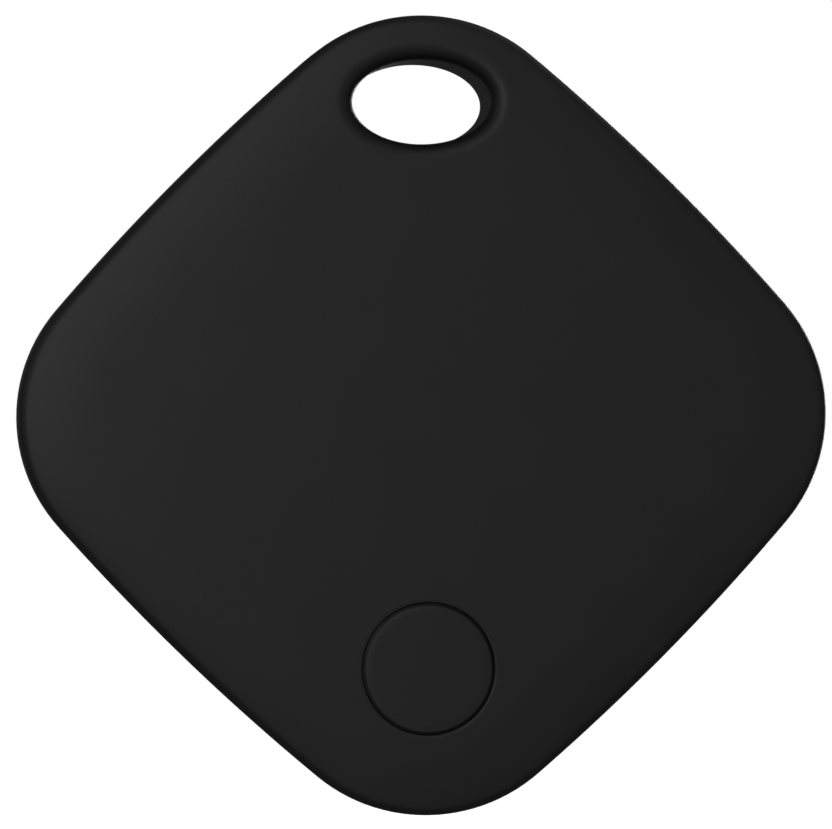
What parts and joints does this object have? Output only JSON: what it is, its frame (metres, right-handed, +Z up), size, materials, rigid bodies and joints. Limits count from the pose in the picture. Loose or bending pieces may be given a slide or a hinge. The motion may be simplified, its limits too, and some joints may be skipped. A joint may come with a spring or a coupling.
{
  "type": "tracker tag",
  "caption": "Small rounded-square tracker tag hung from one corner, with a keyring hole, a flush push button and a coin cell behind a press-fit back cover.",
  "frame": {"origin": "centre of the keyring hole at half the case's thickness", "axes": "+Z up from the button towards the keyring hole, +X to the right seen from the front, front face towards -Y, back cover towards +Y"},
  "size_m": [0.044, 0.008, 0.0434],
  "materials": {
    "black_abs": "moulded ABS, fine spark-eroded texture",
    "tray_abs": "moulded, satin",
    "silicone": "moulded silicone",
    "foam": "open-cell foam",
    "solder_mask": "glass-fibre board with green solder mask",
    "chip_epoxy": "moulded epoxy",
    "nickel": "nickel plated lid",
    "ceramic": "fired ceramic",
    "ferrite": "pressed ferrite",
    "capacitor_body": "fired ceramic with tin ends",
    "resistor_body": "glazed ceramic with tin ends",
    "spring_steel": "rolled spring steel",
    "nylon": "moulded nylon",
    "gold_plate": "gold plated phosphor bronze",
    "screw_steel": "zinc plated",
    "brass_disc": "rolled brass",
    "piezo_ceramic": "silvered ceramic",
    "adhesive": "double-sided tape",
    "red_insulation": "soft insulation",
    "black_insulation": "soft insulation",
    "cell_steel": "nickel plated stainless steel"
  },
  "bodies": {
    "case": {"front_shell": "black_abs", "circuit_board": "solder_mask", "radio_chip": "chip_epoxy", "main_crystal": "nickel", "clock_crystal": "nickel", "chip_antenna": "ceramic", "motion_sensor": "chip_epoxy", "boost_inductor": "ferrite", "capacitor_1": "capacitor_body", "capacitor_2": "capacitor_body", "capacitor_3": "capacitor_body", "capacitor_4": "capacitor_body", "capacitor_5": "capacitor_body", "capacitor_6": "capacitor_body", "resistor_1": "resistor_body", "resistor_2": "resistor_body", "resistor_3": "resistor_body", "resistor_4": "resistor_body", "switch_base": "chip_epoxy", "switch_dome": "spring_steel", "switch_cover": "spring_steel", "positive_clip": "gold_plate", "negative_contact": "gold_plate", "battery_tray": "tray_abs", "board_screw_1": "screw_steel", "board_screw_2": "screw_steel", "board_screw_3": "screw_steel", "buzzer_plate": "brass_disc", "buzzer_ceramic": "piezo_ceramic", "buzzer_adhesive": "adhesive", "buzzer_wire_red": "red_insulation", "buzzer_wire_black": "black_insulation"},
    "button": {"button_cap": "black_abs"},
    "plunger": {"switch_plunger": "nylon"},
    "cover": {"rear_cover": "black_abs", "case_gasket": "silicone", "cell_pad": "foam"},
    "cell": {"cell_can": "cell_steel", "cell_grommet": "nylon", "cell_lid": "cell_steel"}
  },
  "joints": [
    {"name": "button_press", "type": "slide", "parent": "case", "child": "button", "axis": [0, 1, 0], "range_m": [0, 0.0002], "stiffness_N_per_m": 3000},
    {"name": "plunger_press", "type": "slide", "parent": "case", "child": "plunger", "axis": [0, 1, 0], "range_m": [0, 0.0002], "deforming": ["switch_dome"]},
    {"name": "rear_cover_off", "type": "slide", "parent": "case", "child": "cover", "axis": [0, 1, 0], "range_m": [0, 0.026]},
    {"name": "cell_out", "type": "slide", "parent": "case", "child": "cell", "axis": [0, 1, 0], "range_m": [0, 0.013]}
  ],
  "couplings": [
    {"joint": "plunger_press", "follows": "button_press", "ratio": 1},
    {"joint": "cell_out", "follows": "rear_cover_off", "ratio": 0.5}
  ]
}
